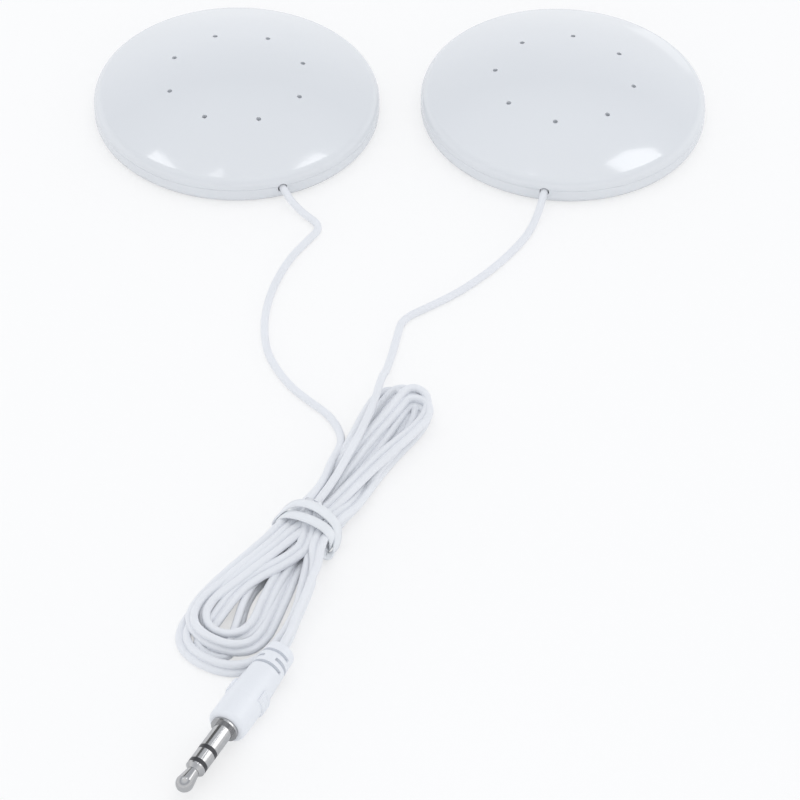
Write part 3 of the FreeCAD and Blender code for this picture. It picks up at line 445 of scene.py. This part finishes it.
make_lead("left", LEFT_LEAD_ROUTE, CONDUCTOR / 2)
make_lead("right", RIGHT_LEAD_ROUTE, -CONDUCTOR / 2)
make_twin_cord()

# Tie: a flat strip of about two turns round the hank, with a loose loop at its end, as (s, u, z).
TIE_STRIP = [
    (-1.5, 1.5, 0.5), (-1.6, 4.2, 0.5), (-1.8, 5.2, 1.6), (-1.7, 5.1, 3.6), (-1.55, 3.6, 5.3),
    (-1.5, 0.6, 6.2), (-1.4, -2.2, 6.2), (-1.5, -4.9, 5.8), (-1.6, -6.2, 4.1), (-1.4, -5.9, 1.2),
    (-0.8, -4.0, 0.5), (-0.2, 0.0, 0.5), (-1.0, 4.2, 0.5), (-1.8, 5.6, 0.9), (-1.9, 5.9, 2.6),
    (-0.9, 5.1, 4.4), (0.8, 3.7, 5.8), (1.55, 1.6, 6.4), (1.55, -1.3, 6.6), (1.1, -4.0, 6.1),
    (0.7, -5.8, 4.7), (-0.4, -6.6, 3.0), (-2.2, -6.8, 1.6), (-3.9, -6.1, 1.4), (-3.3, -5.1, 2.3),
    (-1.8, -4.6, 3.4), (-0.8, -4.4, 3.9),
]
TIE_WIDTH, TIE_THICKNESS = 2.0, 0.42
# Shares of the strip's half width and half thickness that its rounded edges leave flat.
FLAT_WIDTH, FLAT_EDGE = 0.9, 0.5


def make_tie():
    line = spline_line([hank_point(*place) for place in TIE_STRIP])
    frames = []
    for way in tangents(line):
        wide = (ALONG - way * ALONG.dot(way)).normalized()
        frames.append((wide, way.cross(wide).normalized()))
    a, b = TIE_WIDTH / 2 * MM, TIE_THICKNESS / 2 * MM
    flat, edge = a * FLAT_WIDTH, b * FLAT_EDGE
    under = [(-a, -edge), (-flat, -b), (0, -b), (flat, -b), (a, -edge)]
    piece = sweep("tie_strip", line, under + [(-p, -q) for p, q in under], frames)
    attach(piece, "root")
    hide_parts("cord_tie")
    paint(piece, "tie")


make_tie()

# Floor, light and backdrop.
FLOOR_SIZE = 4
FLOOR_GLOW = 0.6  # share of plain white in what the camera sees of the floor


def make_floor():
    """Pale floor, which the camera sees nearly white and which keeps the object's shadow."""
    mesh = bpy.data.meshes.new("floor")
    bm = bmesh.new()
    bmesh.ops.create_grid(bm, x_segments=1, y_segments=1, size=FLOOR_SIZE)
    bm.to_mesh(mesh)
    bm.free()
    floor = link(bpy.data.objects.new("floor", mesh))
    look = Look("floor", (0.97, 0.97, 0.97), 0.7).drift(3, 0.004).wear(8, 0.02)
    tree = look.tree
    share = tree.nodes.new("ShaderNodeMath")
    share.operation = "MULTIPLY"
    share.inputs[1].default_value = FLOOR_GLOW
    glow = tree.nodes.new("ShaderNodeEmission")
    mix = tree.nodes.new("ShaderNodeMixShader")
    tree.links.new(tree.nodes.new("ShaderNodeLightPath").outputs["Is Camera Ray"], share.inputs[0])
    tree.links.new(share.outputs["Value"], mix.inputs["Fac"])
    tree.links.new(look.shader.outputs["BSDF"], mix.inputs[1])
    tree.links.new(glow.outputs["Emission"], mix.inputs[2])
    tree.links.new(mix.outputs["Shader"], tree.nodes["Material Output"].inputs["Surface"])
    floor.data.materials.append(look.material)


# Brightness of the studio by the sine of the height above the horizon.
SKY = [
    (0.0, (1.0, 1.0, 1.0)),
    (0.35, (0.90, 0.91, 0.93)),
    (0.65, (0.55, 0.57, 0.61)),
    (0.85, (0.85, 0.87, 0.90)),
    (1.0, (1.0, 1.0, 1.0)),
]
SKY_STRENGTH = 1.15


def make_world():
    world = bpy.data.worlds.new("studio")
    scene.world = world
    world.use_nodes = True
    tree = world.node_tree
    back = tree.nodes["Background"]
    place = tree.nodes.new("ShaderNodeTexCoord")
    split = tree.nodes.new("ShaderNodeSeparateXYZ")
    ramp = tree.nodes.new("ShaderNodeValToRGB")
    tree.links.new(place.outputs["Generated"], split.inputs["Vector"])
    tree.links.new(split.outputs["Z"], ramp.inputs["Fac"])
    marks = ramp.color_ramp.elements
    while len(marks) < len(SKY):
        marks.new(0.5)
    for mark, (height, _) in zip(marks, SKY):
        mark.position = height
    for mark, (_, colour) in zip(marks, SKY):
        mark.color = (*colour, 1)
    tree.links.new(ramp.outputs["Color"], back.inputs["Color"])
    back.inputs["Strength"].default_value = SKY_STRENGTH


# Cards that the camera doesn't see, lit or dark, with their radiance. Each corner is a direction: its turn
# from +Y towards +X and its height, in degrees.
STUDIO_CARDS = {
    "left_softbox": ([(-47, 57), (-41, 59), (-42, 66), (-44, 70), (-50, 69), (-49, 62)], 4.0),
    "left_strip": ([(-44, 72), (-34, 74), (-16, 75), (-20, 78), (-34, 76.5), (-44, 75)], 3.0),
    "right_softbox": ([(38, 69), (39, 61), (44, 54), (49, 53), (53, 61), (53, 68), (48, 66)], 4.0),
    "low_strip": ([(12, 5), (16, 5), (30, 18), (26, 19)], 1.5),
}
STUDIO_DISTANCE = 12.0
# Cards close to the pin, which show in reflections alone.
PIN_CARDS = {
    "pin_dark": ([(-27, 22), (-4, 22), (0, 46), (-22, 44)], 0.2),
    "pin_light": ([(58, 22), (84, 18), (80, 44), (52, 50)], 2.4),
}
PIN_MIDDLE = Vector((-36, -176, 3.5)) * MM
PIN_DISTANCE = 0.07


def make_card(name, corners, radiance, centre, distance):
    """Flat card at this distance from a centre, in these directions."""
    mesh = bpy.data.meshes.new(name)
    places = []
    for turn, height in corners:
        turn, height = math.radians(turn), math.radians(height)
        flat = math.cos(height)
        way = Vector((math.sin(turn) * flat, math.cos(turn) * flat, math.sin(height)))
        places.append(centre + way * distance)
    mesh.from_pydata(places, [], [range(len(places))])
    card = link(bpy.data.objects.new(name, mesh))
    material = bpy.data.materials.new(name)
    material.use_nodes = True
    tree = material.node_tree
    glow = tree.nodes.new("ShaderNodeEmission")
    glow.inputs["Strength"].default_value = radiance
    tree.links.new(glow.outputs["Emission"], tree.nodes["Material Output"].inputs["Surface"])
    mesh.materials.append(material)
    card.visible_camera = False
    return card


make_floor()
make_world()
for name, (corners, radiance) in STUDIO_CARDS.items():
    make_card(name, corners, radiance, Vector(), STUDIO_DISTANCE)
for name, (corners, radiance) in PIN_CARDS.items():
    card = make_card(name, corners, radiance, PIN_MIDDLE, PIN_DISTANCE)
    card.visible_diffuse = card.visible_shadow = False
